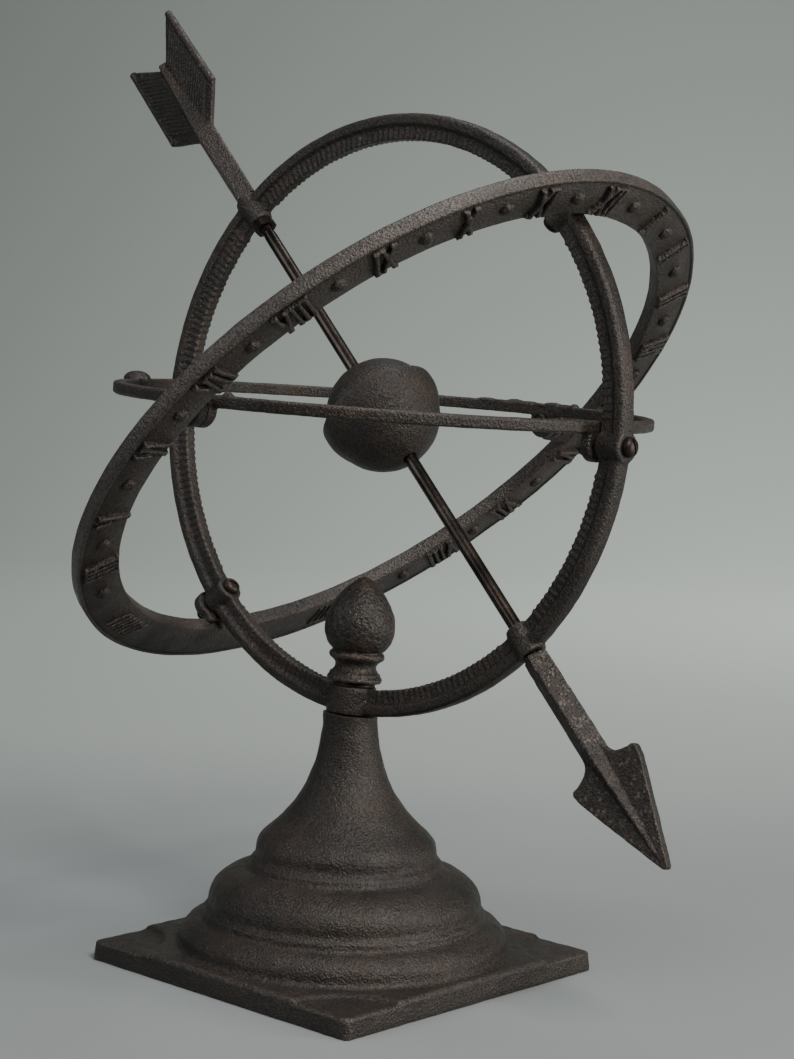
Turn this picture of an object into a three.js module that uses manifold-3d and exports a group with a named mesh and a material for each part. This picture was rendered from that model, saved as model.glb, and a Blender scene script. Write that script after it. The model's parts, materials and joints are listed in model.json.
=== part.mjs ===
// Garden armillary sphere: a cast pedestal, three rings, a globe and an arrow on a steel rod.
// Millimetres, +Z up. The origin is the middle of the object's footprint box, on the ground.
import * as THREE from 'three';
import { mergeVertices } from 'three/addons/utils/BufferGeometryUtils.js';
import Module from 'manifold-3d';

const wasm = await Module();
wasm.setup();

const degree = Math.PI / 180;
const gap = 0.3;                 // clearance between pieces that touch

// Pedestal
const pedestalX = 2.9;           // where the pedestal's axis stands, from the origin
const pedestalY = -10.2;
const plinthHalf = 72;           // half the side of the square plinth
const plinthDraft = 0.8;         // how far its sides lean in
const plinthCorner = 8;          // height of the plinth at its corners
const plinthTop = 9.3;           // height of the plinth between its corners
const cornerPanel = 29;          // radius of the sunk quarter-round corner panels
const seatHeight = 102.9;        // top of the neck
const neckRadius = 11;
const hollowTop = 81;            // ceiling of the hollow underside
const spotFaceRadius = 8.4;      // flat for the washer, cut into that ceiling square to the stud

// The stud leans, so everything above the seat leans with it
const turnAngle = 1.7;           // swivel of the sphere about its stud
const leanSide = -4.7;           // about X
const leanAlong = 1.7;           // about Y
const studRadius = 3;
const spotFace = -21;            // where the washer under the neck bears, along the stud from the seat
const centreAboveSeat = 120.3;   // the rings' common centre, along the stud

// Meridian ring
const meridianOuter = 120;
const meridianInner = 109.5;
const rimDepth = 5;
const rimHalfWidth = 4;
const webHalfWidth = 2.5;
const footRadius = 10;
const bossInner = 109;           // screw bosses stand proud of the ring's inside
const bossOuter = 120.4;
const rodBossInner = 107.8;
const rodBossOuter = 121.2;
const arrowAngle = 45;           // the arrow's slope, which is the latitude it is cast for

// Hour ring, across the arrow
const hourOuter = 141.5;
const hourInner = 123.4;
const hourThickness = 6.4;
const hourOffset = 7.5;          // its plate stands this far from the centre, towards the arrowhead
const hourSkew = 4;              // how far it is turned about its own two screws

// Horizon ring
const horizonOuter = 107.4;
const horizonDepth = 4.4;        // across the band; its tabs are as thick
const horizonHeight = 4.8;
const horizonOffset = 4.1;       // the band's middle over the centre
const horizonDip = 1.4;          // the arrowhead's side sits lower
const horizonRoll = 2.8;         // and so does the side towards -Y
const tabRadius = 6.7;
const frontDrop = -4.9;          // height of the screw on the arrowhead's side
const domeRadius = 5.6;          // the low dome on top of the band
const domeHeight = 3.3;
const domeAngle = -154;          // where it stands, from the arrowhead's side

// Rod, globe and arrow
const rodRadius = 2.65;
const rodReach = 137;            // from the centre to each end, inside the castings
const globeRadius = 22.8;
const bandRadius = 24.1;
const bandHalf = 5.5;
const shankStart = 121.6;        // where each casting begins, outside the meridian ring
const shankHalf = 4.4;           // half the bar's width across its corners
const headNeck = 166;
const headBarb = 176;
const headTip = 218.3;
const headHalf = 16.2;
const headTwist = 7.2;           // the head is turned this far about the rod
const vaneRoot = 160.5;
const vaneFront = 173.4;
const vaneRear = 219;
const vaneNotch = 203;
const vaneHalf = 19;
const vaneTwist = -8.7;          // and the tail this far the other way

// Fasteners
const screwRadius = 2;
const screwHead = 3.9;
const nutFlats = 7.4;
const nutHeight = 3.2;

const castIron = () => new THREE.MeshStandardMaterial({ color: 0x2e2622, roughness: 0.62, metalness: 0.75 });
const darkSteel = () => new THREE.MeshStandardMaterial({ color: 0x3d342f, roughness: 0.4, metalness: 0.9 });
const rodSteel = () => new THREE.MeshStandardMaterial({ color: 0x4a3e37, roughness: 0.3, metalness: 0.95 });

const axisX = new THREE.Vector3(1, 0, 0);
const axisY = new THREE.Vector3(0, 1, 0);
const axisZ = new THREE.Vector3(0, 0, 1);
const vector = (x, y, z) => new THREE.Vector3(x, y, z);
const along = (direction, distance) => direction.clone().multiplyScalar(distance);

// A closed geometry becomes a solid that can be joined and cut.
function solid(geometry) {
  const bare = geometry.clone();
  bare.deleteAttribute('normal');
  bare.deleteAttribute('uv');
  const merged = mergeVertices(bare, 1e-4);
  const index = merged.index.array;
  const triangles = [];
  for (let i = 0; i < index.length; i += 3) {
    const [a, b, c] = [index[i], index[i + 1], index[i + 2]];
    if (a !== b && b !== c && c !== a) triangles.push(a, b, c);
  }
  const vertProperties = Float32Array.from(merged.attributes.position.array);
  const build = (order) => new wasm.Manifold(new wasm.Mesh({
    numProp: 3, vertProperties, triVerts: Uint32Array.from(order),
  }));
  const made = build(triangles);
  return made.volume() > 0 ? made : build(triangles.reverse());
}

function mesh(name, shape, material) {
  const data = shape.getMesh();
  const geometry = new THREE.BufferGeometry();
  geometry.setAttribute('position', new THREE.BufferAttribute(Float32Array.from(data.vertProperties), 3));
  geometry.setIndex(new THREE.BufferAttribute(Uint32Array.from(data.triVerts), 1));
  geometry.computeVertexNormals();
  const made = new THREE.Mesh(geometry, material);
  made.name = name;
  return made;
}

// Moves a geometry so that its own Y axis points along a direction, from a point.
function stand(geometry, direction, from) {
  const turn = new THREE.Quaternion().setFromUnitVectors(axisY, direction.clone().normalize());
  geometry.applyQuaternion(turn);
  geometry.translate(from.x, from.y, from.z);
  return geometry;
}

function cylinder(from, to, radius, sides = 28) {
  const span = to.clone().sub(from);
  const shape = new THREE.CylinderGeometry(radius, radius, span.length(), sides);
  return solid(stand(shape, span, from.clone().add(to).multiplyScalar(0.5)));
}

// A flat bar between two points, with its width along the given side direction.
function bar(from, to, width, thickness, side) {
  const span = to.clone().sub(from);
  const y = span.clone().normalize();
  const x = side.clone().addScaledVector(y, -side.dot(y)).normalize();
  const z = x.clone().cross(y);
  const shape = new THREE.BoxGeometry(width, span.length(), thickness);
  shape.applyMatrix4(new THREE.Matrix4().makeBasis(x, y, z));
  const middle = from.clone().add(to).multiplyScalar(0.5);
  shape.translate(middle.x, middle.y, middle.z);
  return solid(shape);
}

// Points of a profile turned about Y; the profile closes on itself or starts and ends on the axis.
function turned(points, segments) {
  return new THREE.LatheGeometry(points.map(([r, h]) => new THREE.Vector2(r, h)), segments);
}

function turnedUpright(points, segments) {
  return turned(points, segments).rotateX(90 * degree);
}

function curve(from, control1, control2, to, steps) {
  const ends = [from, control1, control2, to].map((p) => new THREE.Vector2(...p));
  const bend = new THREE.CubicBezierCurve(...ends);
  return bend.getPoints(steps).map((p) => [p.x, p.y]);
}

function join(shapes) {
  return shapes.reduce((whole, next) => whole.add(next));
}

function cut(shape, tools) {
  return tools.reduce((rest, tool) => rest.subtract(tool), shape);
}

// Frames

const object = new THREE.Group();
const mast = new THREE.Group();            // its Z is the stud's axis, from the seat
mast.position.set(pedestalX, pedestalY, seatHeight);
mast.rotation.set(leanSide * degree, leanAlong * degree, turnAngle * degree, 'ZXY');
object.add(mast);

const dial = new THREE.Group();            // its origin is the rings' centre, Y is across the meridian
dial.position.set(0, 0, centreAboveSeat);
dial.rotation.y = -leanAlong * degree;
mast.add(dial);

const studDown = vector(0, 0, -1).applyAxisAngle(axisY, leanAlong * degree);   // in the dial's frame
const toHead = vector(Math.cos(arrowAngle * degree), 0, -Math.sin(arrowAngle * degree));
const acrossArrow = vector(Math.sin(arrowAngle * degree), 0, Math.cos(arrowAngle * degree));

// Pedestal

function plinth() {
  const side = plinthHalf - plinthDraft;
  const base = new THREE.CylinderGeometry(side * Math.SQRT2, plinthHalf * Math.SQRT2, plinthTop, 4);
  base.rotateY(45 * degree).rotateX(90 * degree).translate(0, 0, plinthTop / 2);
  const panels = [];
  for (const [x, y] of [[1, 1], [1, -1], [-1, 1], [-1, -1]]) {
    const corner = vector(x * plinthHalf, y * plinthHalf, plinthCorner);
    panels.push(cylinder(corner, corner.clone().setZ(plinthTop + 2), cornerPanel, 24));
  }
  return cut(solid(base), panels);
}

function pedestalBody() {
  const foot = [[0, 5], [65.2, 5], [65.4, 9.3]];
  const lowerRoll = curve([65.5, 10.5], [66.5, 16.6], [61, 20.2], [56.8, 20.4], 4);
  const bead = [[56.3, 21.2], [56.5, 23.4], [55.6, 24.5], [54.9, 25.1]];
  const middleRoll = curve([55, 26], [55.2, 34], [48.5, 38.5], [39.6, 40.6], 5);
  const collar = [[38.6, 41.2], [38.9, 43.2], [37.2, 44.7], [36.7, 45.6]];
  const shoulder = curve([36.5, 47.2], [36.6, 51.6], [34.2, 53.4], [30.2, 57.3], 3);
  const neck = curve([29.2, 58.3], [17, 70], [12.6, 82], [neckRadius + 0.1, 98], 7);
  const top = [[neckRadius, seatHeight + 2], [0, seatHeight + 2]];
  const profile = [...foot, ...lowerRoll, ...bead, ...middleRoll, ...collar, ...shoulder, ...neck, ...top];
  return solid(turnedUpright(profile, 36));
}

function pedestalHollow() {
  const lower = curve([59, -1], [59, 16], [50, 18], [48.5, 26], 3);
  const middle = curve([47, 30], [44, 35], [34, 36], [30.5, 42], 3);
  const upper = curve([29, 48], [20, 56], [12, 68], [9.2, hollowTop], 4);
  return solid(turnedUpright([[0, -1], ...lower, ...middle, ...upper, [0, hollowTop]], 24));
}

// A cylinder on the stud's axis, in the pedestal's own frame.
function onStud(low, high, radius, sides) {
  const tilt = new THREE.Euler(leanSide * degree, leanAlong * degree, turnAngle * degree, 'ZXY');
  const axis = vector(0, 0, 1).applyEuler(tilt);
  const seat = vector(0, 0, seatHeight);
  const at = (distance) => seat.clone().addScaledVector(axis, distance);
  return cylinder(at(low), at(high), radius, sides);
}

const pedestalShape = cut(join([plinth(), pedestalBody()]), [
  pedestalHollow(),
  onStud(0, 12, 20, 24),
  onStud(-40, 2, studRadius + gap, 24),
  onStud(-40, spotFace, spotFaceRadius, 28),
]);
const pedestal = mesh('pedestal', pedestalShape, castIron());
pedestal.position.set(pedestalX, pedestalY, 0);
object.add(pedestal);

// Stud and what it holds

const upright = (low, high, radius, sides) => cylinder(vector(0, 0, low), vector(0, 0, high), radius, sides);

function hexNut(flats, height, hole) {
  const nut = new THREE.CylinderGeometry(flats / Math.sqrt(3), flats / Math.sqrt(3), height, 6);
  nut.rotateX(90 * degree).translate(0, 0, height / 2);
  return solid(nut).subtract(upright(-1, height + 1, hole, 14));
}

function washer(outer, inner, thickness) {
  return upright(0, thickness, outer, 24).subtract(upright(-1, thickness + 1, inner, 16));
}

const washerThickness = 1.3;
const footTop = centreAboveSeat - meridianInner + 0.5;
const seatWasher = mesh('seat_washer', washer(8.6, studRadius + gap, washerThickness), darkSteel());
seatWasher.position.z = footTop + gap;
const acornBase = footTop + washerThickness + 2 * gap;
const studTop = acornBase + 19;
const studBottom = spotFace - 10;

const stud = mesh('pedestal_stud', upright(studBottom, studTop, studRadius, 24), darkSteel());
const studWasherShape = washer(spotFaceRadius - 0.5, studRadius + gap, washerThickness);
const studWasher = mesh('stud_washer', studWasherShape, darkSteel());
studWasher.position.z = spotFace - gap - washerThickness;
const studNutHeight = 5;
const studNut = mesh('stud_nut', hexNut(10, studNutHeight, studRadius + gap), darkSteel());
studNut.position.z = spotFace - 2 * gap - washerThickness - studNutHeight;

function acorn() {
  const flare = [[0, 0], [9.6, 0], [10.9, 1.2], [10.9, 3.2]];
  const waist = curve([10.2, 4], [8.4, 5.4], [8, 7.2], [9.2, 8.4], 3);
  const bead = [[10.6, 9.2], [11.2, 10.4], [11, 11.8], [10.5, 12.6]];
  const nutBody = curve([11.4, 13.6], [16.4, 20.5], [14.4, 30], [2.6, 41], 7);
  const shape = solid(turnedUpright([...flare, ...waist, ...bead, ...nutBody, [0, 42]], 22));
  return shape.subtract(upright(-1, studTop - acornBase + gap, studRadius + gap, 24));
}

const finial = mesh('acorn_finial', acorn(), castIron());
finial.position.z = acornBase;
mast.add(stud, studWasher, studNut, seatWasher, finial);

// Meridian ring

function meridianShape() {
  const rimInner = meridianOuter - rimDepth;
  const section = [
    [meridianInner, -webHalfWidth],
    [rimInner, -webHalfWidth],
    [rimInner, -rimHalfWidth],
    [meridianOuter - 0.8, -rimHalfWidth],
    [meridianOuter, -rimHalfWidth + 0.8],
    [meridianOuter, rimHalfWidth - 0.8],
    [meridianOuter - 0.8, rimHalfWidth],
    [rimInner, rimHalfWidth],
    [rimInner, webHalfWidth],
    [meridianInner, webHalfWidth],
    [meridianInner, -webHalfWidth],
  ];
  const boss = (direction, inner, outer, radius) =>
    cylinder(along(direction, inner), along(direction, outer), radius, 22);
  const tail = toHead.clone().negate();
  const low = acrossArrow.clone().negate();
  const back = axisX.clone().negate();
  const bosses = [
    boss(studDown, meridianInner - 0.5, centreAboveSeat - gap, footRadius),
    boss(toHead, rodBossInner, rodBossOuter, 6.2),
    boss(tail, rodBossInner, rodBossOuter, 6.2),
    boss(acrossArrow, bossInner, bossOuter, 5.8),
    boss(low, bossInner, bossOuter, 5.8),
    cylinder(vector(bossInner, 0, frontDrop), vector(bossOuter, 0, frontDrop), 6, 22),
    boss(back, bossInner, bossOuter, 6),
  ];
  const hole = (direction, radius) => cylinder(along(direction, 100), along(direction, 130), radius, 16);
  const holes = [
    hole(studDown, studRadius + gap),
    hole(toHead, rodRadius + gap),
    hole(tail, rodRadius + gap),
    ...[acrossArrow, low, back].map((direction) => hole(direction, screwRadius + gap)),
    cylinder(vector(100, 0, frontDrop), vector(130, 0, frontDrop), screwRadius + gap, 16),
  ];
  return cut(join([solid(turned(section, 60)), ...bosses]), holes);
}

dial.add(mesh('meridian_ring', meridianShape(), castIron()));

// Horizon ring

const horizonNormal = axisZ.clone().applyAxisAngle(axisY, horizonDip * degree)
  .applyAxisAngle(axisX, horizonRoll * degree);
const crossing = {               // where the horizon and hour rings are bolted together
  near: vector(4.5, -1, -4.7),   // along X, the side of the meridian, and the height
  far: vector(0, 1, 3.8),
};
const tabInner = horizonOuter - horizonDepth;

// How high the plate's middle plane is over a point
function plateHeight(point) {
  return horizonOffset - (horizonNormal.x * point.x + horizonNormal.y * point.y) / horizonNormal.z;
}

// A half-round tab below the plate, facing outwards, centred on the screw that passes it.
function tab(outward, side, drop) {
  const point = (radius) => along(outward, radius).addScaledVector(axisX, side * (1 - Math.abs(outward.x)))
    .addScaledVector(axisZ, drop);
  const round = cylinder(point(tabInner), point(horizonOuter), tabRadius, 22);
  const half = tabRadius - 0.6;
  const middle = point((tabInner + horizonOuter) / 2);
  const above = middle.clone().setZ(plateHeight(middle));
  const neck = bar(middle, above, 2 * half, horizonDepth, axisZ.clone().cross(outward));
  return join([round, neck]);
}

function horizonShape() {
  const half = horizonHeight / 2;
  const section = [
    [tabInner, -half],
    [horizonOuter - 0.6, -half],
    [horizonOuter, -half + 0.6],
    [horizonOuter, half - 0.6],
    [horizonOuter - 0.6, half],
    [tabInner, half],
    [tabInner, -half],
  ];
  const plate = solid(stand(turned(section, 56), horizonNormal, vector(0, 0, horizonOffset)));
  const tabs = [
    tab(axisX, 0, frontDrop),
    tab(axisX.clone().negate(), 0, 0),
    tab(axisY.clone().negate(), crossing.near.x, crossing.near.z),
    tab(axisY, crossing.far.x, crossing.far.z),
  ];
  const hole = (x, y, z, direction) => cylinder(
    vector(x, y, z).addScaledVector(direction, 90), vector(x, y, z).addScaledVector(direction, 112),
    screwRadius + gap, 14);
  const profile = [[0, -2], [domeRadius, -2], ...curve([domeRadius, 0], [domeRadius - 0.6, 1.6],
    [3.6, domeHeight], [0, domeHeight], 3)];
  const dome = turnedUpright(profile, 28);
  const domePlace = vector(horizonOuter - 2.4, 0, 0).applyAxisAngle(axisZ, domeAngle * degree);
  domePlace.setZ(plateHeight(domePlace) + half);
  dome.translate(domePlace.x, domePlace.y, domePlace.z);
  // Flats inside the tabs, for the screw heads and nuts
  const flat = (x, y, z, direction) => cylinder(
    vector(x, y, z).addScaledVector(direction, 96), vector(x, y, z).addScaledVector(direction, tabInner),
    nutFlats / Math.sqrt(3) + 0.6, 24);
  const holes = [hole, flat].flatMap((make) => [
    make(0, 0, frontDrop, axisX),
    make(0, 0, 0, axisX.clone().negate()),
    make(crossing.near.x, 0, crossing.near.z, axisY.clone().negate()),
    make(crossing.far.x, 0, crossing.far.z, axisY),
  ]);
  return cut(join([plate, solid(dome), ...tabs]), holes);
}

dial.add(mesh('horizon_ring', horizonShape(), castIron()));

// Hour ring

const hourNormal = toHead.clone().multiplyScalar(Math.cos(hourSkew * degree))
  .addScaledVector(axisY, Math.sin(hourSkew * degree));
const hourCentre = along(hourNormal, hourOffset);
const lugInner = bossOuter + gap;
const lugThickness = 4.4;
const earInner = horizonOuter + gap;
const earThickness = 4;
const earOuter = earInner + earThickness;
const nutRoom = 6;

// A lug that rises from the plate to the meridian ring's screw.
function screwLug(outward) {
  const centre = along(outward, lugInner + lugThickness / 2);
  const round = cylinder(along(outward, lugInner), along(outward, lugInner + lugThickness), 8, 22);
  const neck = bar(centre, centre.clone().addScaledVector(toHead, hourOffset), 14, lugThickness, axisY);
  return join([round, neck]);
}

// A bracket from the plate's inner edge to the horizon ring's tab.
function bracket(place) {
  const outward = along(axisY, place.y);
  const tip = vector(place.x, 0, place.z).addScaledVector(outward, earInner + earThickness / 2);
  const round = cylinder(
    vector(place.x, 0, place.z).addScaledVector(outward, earInner),
    vector(place.x, 0, place.z).addScaledVector(outward, earInner + earThickness), tabRadius, 20);
  // The plate's middle plane, straight out from the tab, at the plate's inner edge
  const root = tip.clone().addScaledVector(outward, hourInner + 4 - earInner);
  const away = hourNormal.dot(root.clone().sub(hourCentre));
  root.addScaledVector(hourNormal, -away);
  const arm = bar(tip, root, 16, 6, acrossArrow);      // wide enough to leave a wall on both sides of the nut
  return join([round, arm]);
}

function hourShape() {
  const half = hourThickness / 2;
  const section = [
    [hourInner, -half],
    [hourOuter - 0.8, -half],
    [hourOuter, -half + 0.8],
    [hourOuter, half - 0.8],
    [hourOuter - 0.8, half],
    [hourInner, half],
    [hourInner, -half],
  ];
  const plate = solid(stand(turned(section, 60), hourNormal, hourCentre));
  const low = acrossArrow.clone().negate();
  const parts = [plate, screwLug(acrossArrow), screwLug(low), bracket(crossing.near), bracket(crossing.far)];
  const hole = (from, direction, start, end) => cylinder(
    from.clone().addScaledVector(direction, start), from.clone().addScaledVector(direction, end),
    screwRadius + gap, 14);
  const origin = vector(0, 0, 0);
  const near = vector(crossing.near.x, 0, crossing.near.z);
  const far = vector(crossing.far.x, 0, crossing.far.z);
  const bolt = nutFlats / Math.sqrt(3) + 0.6;
  return cut(join(parts), [
    hole(origin, acrossArrow, 115, 129),
    hole(origin, low, 115, 129),
    hole(near, axisY.clone().negate(), 100, 118),
    hole(far, axisY, 100, 118),
    cylinder(near.clone().setY(-earOuter), near.clone().setY(-earOuter - nutRoom), bolt, 24),
    cylinder(far.clone().setY(earOuter), far.clone().setY(earOuter + nutRoom), bolt, 24),
  ]);
}

dial.add(mesh('hour_ring', hourShape(), castIron()));

// Screws and nuts

// A domed screw whose shank points along +Z from under its head, which starts at z = 0.
function screwShape(length) {
  const dome = curve([screwHead, -0.9], [screwHead - 0.4, -2.6], [1.6, -3.1], [0, -3.1], 3).reverse();
  const profile = [...dome, [screwHead, 0], [screwRadius, 0], [screwRadius, length], [0, length]];
  return solid(turnedUpright(profile, 14));
}

function fastener(name, from, direction, reach, nutFrom) {
  const aim = new THREE.Quaternion().setFromUnitVectors(axisZ, direction);
  const screw = mesh(`${name}_screw`, screwShape(reach), darkSteel());
  screw.position.copy(from);
  screw.quaternion.copy(aim);
  const nut = mesh(`${name}_nut`, hexNut(nutFlats, nutHeight, screwRadius + gap), darkSteel());
  nut.position.copy(from).addScaledVector(direction, nutFrom);
  nut.quaternion.copy(aim);
  dial.add(screw, nut);
}

const hourHead = bossInner - gap;
const hourNutFrom = lugInner + lugThickness + gap - hourHead;
fastener('hour_high', along(acrossArrow, hourHead), acrossArrow, hourNutFrom + nutHeight + 0.8, hourNutFrom);
const lowWay = acrossArrow.clone().negate();
fastener('hour_low', along(lowWay, hourHead), lowWay, hourNutFrom + nutHeight + 0.8, hourNutFrom);

const horizonHead = bossOuter + gap;
const horizonNutFrom = horizonHead - tabInner + gap;
for (const [name, side, drop] of [['horizon_front', 1, frontDrop], ['horizon_back', -1, 0]]) {
  const head = vector(side * horizonHead, 0, drop);
  fastener(name, head, along(axisX, -side), horizonNutFrom + nutHeight + 0.8, horizonNutFrom);
}

const crossHead = tabInner - gap;
const crossNutFrom = earOuter + gap - crossHead;
for (const [name, place] of Object.entries(crossing)) {
  const outward = along(axisY, place.y);
  const head = vector(place.x, 0, place.z).addScaledVector(outward, crossHead);
  fastener(`cross_${name}`, head, outward, crossNutFrom + nutHeight + 0.8, crossNutFrom);
}

// Rod, globe and arrow

const rod = cylinder(along(toHead, -rodReach), along(toHead, rodReach), rodRadius, 28);
dial.add(mesh('gnomon_rod', rod, rodSteel()));

function globeShape() {
  const bore = rodRadius + gap;
  const pole = Math.sqrt(globeRadius ** 2 - bore ** 2);
  const start = Math.acos(pole / globeRadius);
  const meet = Math.acos(bandHalf / globeRadius);
  const north = [];
  const steps = 5;
  for (let i = 0; i <= steps; i += 1) {
    const angle = start + (meet - start) * (i / steps);
    north.push([globeRadius * Math.sin(angle), globeRadius * Math.cos(angle)]);
  }
  const south = north.map(([r, h]) => [r, -h]);
  const band = [[bandRadius - 0.4, bandHalf - 1.2], [bandRadius, 0], [bandRadius - 0.4, 1.2 - bandHalf]];
  const profile = [...north, ...band, ...south.reverse(), north[0]];
  return solid(stand(turned(profile, 28), toHead, vector(0, 0, 0)));
}

dial.add(mesh('globe', globeShape(), castIron()));

const rodNut = mesh('rod_nut', hexNut(8.6, 3.4, rodRadius + gap), darkSteel());
rodNut.quaternion.setFromUnitVectors(axisZ, toHead);
rodNut.position.copy(along(toHead, gap - rodBossInner));
dial.add(rodNut);

// The castings at the rod's ends are drawn flat: y along the arrow, x across it, z its thickness.
function flatCasting(outline, ridgeEnd, ridgeStart, ridge, edge, half) {
  const plate = new THREE.ExtrudeGeometry(new THREE.Shape(outline.map((p) => new THREE.Vector2(...p))),
    { depth: 2 * ridge, bevelEnabled: false });
  plate.translate(0, 0, -ridge);
  const roof = new THREE.Shape([[-half, -edge], [0, -ridge], [half, -edge], [half, edge], [0, ridge],
    [-half, edge]].map((p) => new THREE.Vector2(...p)));
  const prism = new THREE.ExtrudeGeometry(roof, { depth: ridgeEnd - ridgeStart, bevelEnabled: false });
  prism.rotateX(-90 * degree).translate(0, ridgeStart, 0);
  return solid(plate).intersect(solid(prism));
}

// A square bar standing on its edge.
function shank(start, end, wide) {
  const shape = new THREE.CylinderGeometry(wide, shankHalf, end - start, 4);
  shape.translate(0, (start + end) / 2, 0);
  return solid(shape);
}

function socket(shape) {
  return shape.subtract(cylinder(vector(0, 100, 0), vector(0, rodReach + gap, 0), rodRadius + gap, 24));
}

// Lays a casting along the arrow, turned about it.
function aimed(name, shape, way, twist) {
  const made = mesh(name, shape, castIron());
  const across = acrossArrow.clone().applyAxisAngle(way, twist * degree);
  const basis = new THREE.Matrix4().makeBasis(across, way, across.clone().cross(way));
  made.quaternion.setFromRotationMatrix(basis);
  return made;
}

const barbSide = [[shankHalf, headNeck], [headHalf - 7, headNeck + 5.5], [headHalf - 1, headBarb - 1.2],
  [headHalf, headBarb + 0.8]];
const otherSide = (points) => points.map(([x, y]) => [-x, y]).reverse();
const headOutline = [...barbSide, [0.9, headTip], [-0.9, headTip], ...otherSide(barbSide)];
const headPlate = flatCasting(headOutline, headTip + 1, headNeck - 1, 4.4, 1.5, headHalf + 0.5);
const headShape = socket(join([shank(shankStart, headNeck + 6, 5.4), headPlate]));
dial.add(aimed('arrow_head', headShape, toHead, -headTwist));

const vaneSide = [[shankHalf, vaneRoot], [vaneHalf - 2, vaneFront - 1.2], [vaneHalf, vaneFront + 1.6],
  [vaneHalf, vaneRear - 1], [vaneHalf - 1.4, vaneRear], [2.6, vaneNotch + 1]];
const vaneOutline = [...vaneSide, [0, vaneNotch], ...otherSide(vaneSide)];
const vanes = flatCasting(vaneOutline, vaneRear + 1, vaneRoot - 1, 4, 1.2, vaneHalf + 0.5);
const toTail = toHead.clone().negate();
const tailShape = socket(join([shank(shankStart, vaneNotch - 6, 3.4), vanes]));
dial.add(aimed('arrow_tail', tailShape, toTail, vaneTwist));

export default object;
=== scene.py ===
import json
import math
import bpy
from mathutils import Matrix, Vector


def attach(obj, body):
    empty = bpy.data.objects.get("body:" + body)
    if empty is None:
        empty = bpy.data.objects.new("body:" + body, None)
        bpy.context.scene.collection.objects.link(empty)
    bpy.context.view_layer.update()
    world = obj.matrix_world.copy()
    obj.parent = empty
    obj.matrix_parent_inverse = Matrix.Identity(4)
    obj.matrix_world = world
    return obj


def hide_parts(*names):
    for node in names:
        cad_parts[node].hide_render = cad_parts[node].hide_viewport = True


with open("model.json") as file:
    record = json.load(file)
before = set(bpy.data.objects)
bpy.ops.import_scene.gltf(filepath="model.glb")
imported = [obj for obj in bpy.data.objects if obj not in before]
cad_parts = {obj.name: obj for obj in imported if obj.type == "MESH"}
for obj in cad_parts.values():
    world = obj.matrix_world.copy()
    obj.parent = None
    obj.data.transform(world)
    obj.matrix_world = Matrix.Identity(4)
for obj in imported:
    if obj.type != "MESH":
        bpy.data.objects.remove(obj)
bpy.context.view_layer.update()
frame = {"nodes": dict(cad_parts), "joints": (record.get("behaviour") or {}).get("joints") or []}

# Where things are, from the joints: the seat on the neck, the stud, the rings' centre and the arrow
joints = {joint["name"]: joint for joint in frame["joints"]}
seat = Vector(joints["sphere_swivel"]["pos_m"])
studWay = Vector(joints["sphere_swivel"]["axis"]).normalized()
centre = Vector(joints["arrow_turn"]["pos_m"])
toHead = Vector(joints["arrow_turn"]["axis"]).normalized()
across = studWay.cross(toHead).normalized()      # square to the upright ring
uphill = toHead.cross(across)                    # up the hour ring, where the twelve is
level = (toHead + uphill).normalized()
upright = (uphill - toHead).normalized()
foot = Vector((seat.x, seat.y, 0))
degree = math.pi / 180


# Helpers, each of them one thing done by hand

def objectMode():
    if bpy.context.mode != "OBJECT":
        bpy.ops.object.mode_set(mode="OBJECT")


def clearSelection():
    objectMode()
    bpy.ops.object.select_all(action="DESELECT")


def pick(*pieces):
    clearSelection()
    for piece in pieces:
        piece.select_set(True)
    bpy.context.view_layer.objects.active = pieces[0]


def editAll(piece):
    pick(piece)
    bpy.ops.object.mode_set(mode="EDIT")
    bpy.ops.mesh.select_all(action="SELECT")


def settle(piece):       # its place goes into its mesh
    pick(piece)
    bpy.ops.object.transform_apply(location=True, rotation=True, scale=True)
    return piece


def joined(name, pieces):
    pick(*pieces)
    if len(pieces) > 1:
        bpy.ops.object.join()
    whole = bpy.context.view_layer.objects.active
    whole.name = name
    whole.data.name = name
    return settle(whole)


def copied(piece):
    pick(piece)
    bpy.ops.object.duplicate(linked=False)
    return bpy.context.view_layer.objects.active


def putAt(piece, place):
    piece.matrix_world = place
    return settle(piece)


def modify(piece, kind, **settings):
    modifier = piece.modifiers.new(kind.lower(), kind)
    for name, value in settings.items():
        setattr(modifier, name, value)
    pick(piece)
    bpy.ops.object.modifier_apply(modifier=modifier.name)
    return piece


def combine(piece, tool, operation="DIFFERENCE"):
    modify(piece, "BOOLEAN", object=tool, operation=operation, solver="EXACT")
    bpy.data.objects.remove(tool)
    return piece


def axes(x, y, z, origin):
    place = Matrix.Identity(4)
    for column, way in enumerate((x, y, z)):
        for row in range(3):
            place[row][column] = way[row]
    place.translation = origin
    return place


def bezier(start, pull1, pull2, end, steps):
    points = []
    for i in range(steps + 1):
        t = i / steps
        u = 1 - t
        weights = (u ** 3, 3 * u * u * t, 3 * u * t * t, t ** 3)
        ends = (start, pull1, pull2, end)
        points.append(tuple(sum(w * p[k] for w, p in zip(weights, ends)) for k in (0, 1)))
    return points


def arc(middle, radius, fromAngle, toAngle, steps):
    points = []
    for i in range(steps + 1):
        turn = (fromAngle + (toAngle - fromAngle) * i / steps) * degree
        points.append((middle[0] + radius * math.cos(turn), middle[1] + radius * math.sin(turn)))
    return points


def inMetres(points):
    return [(r * 0.001, z * 0.001) for r, z in points]


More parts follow.
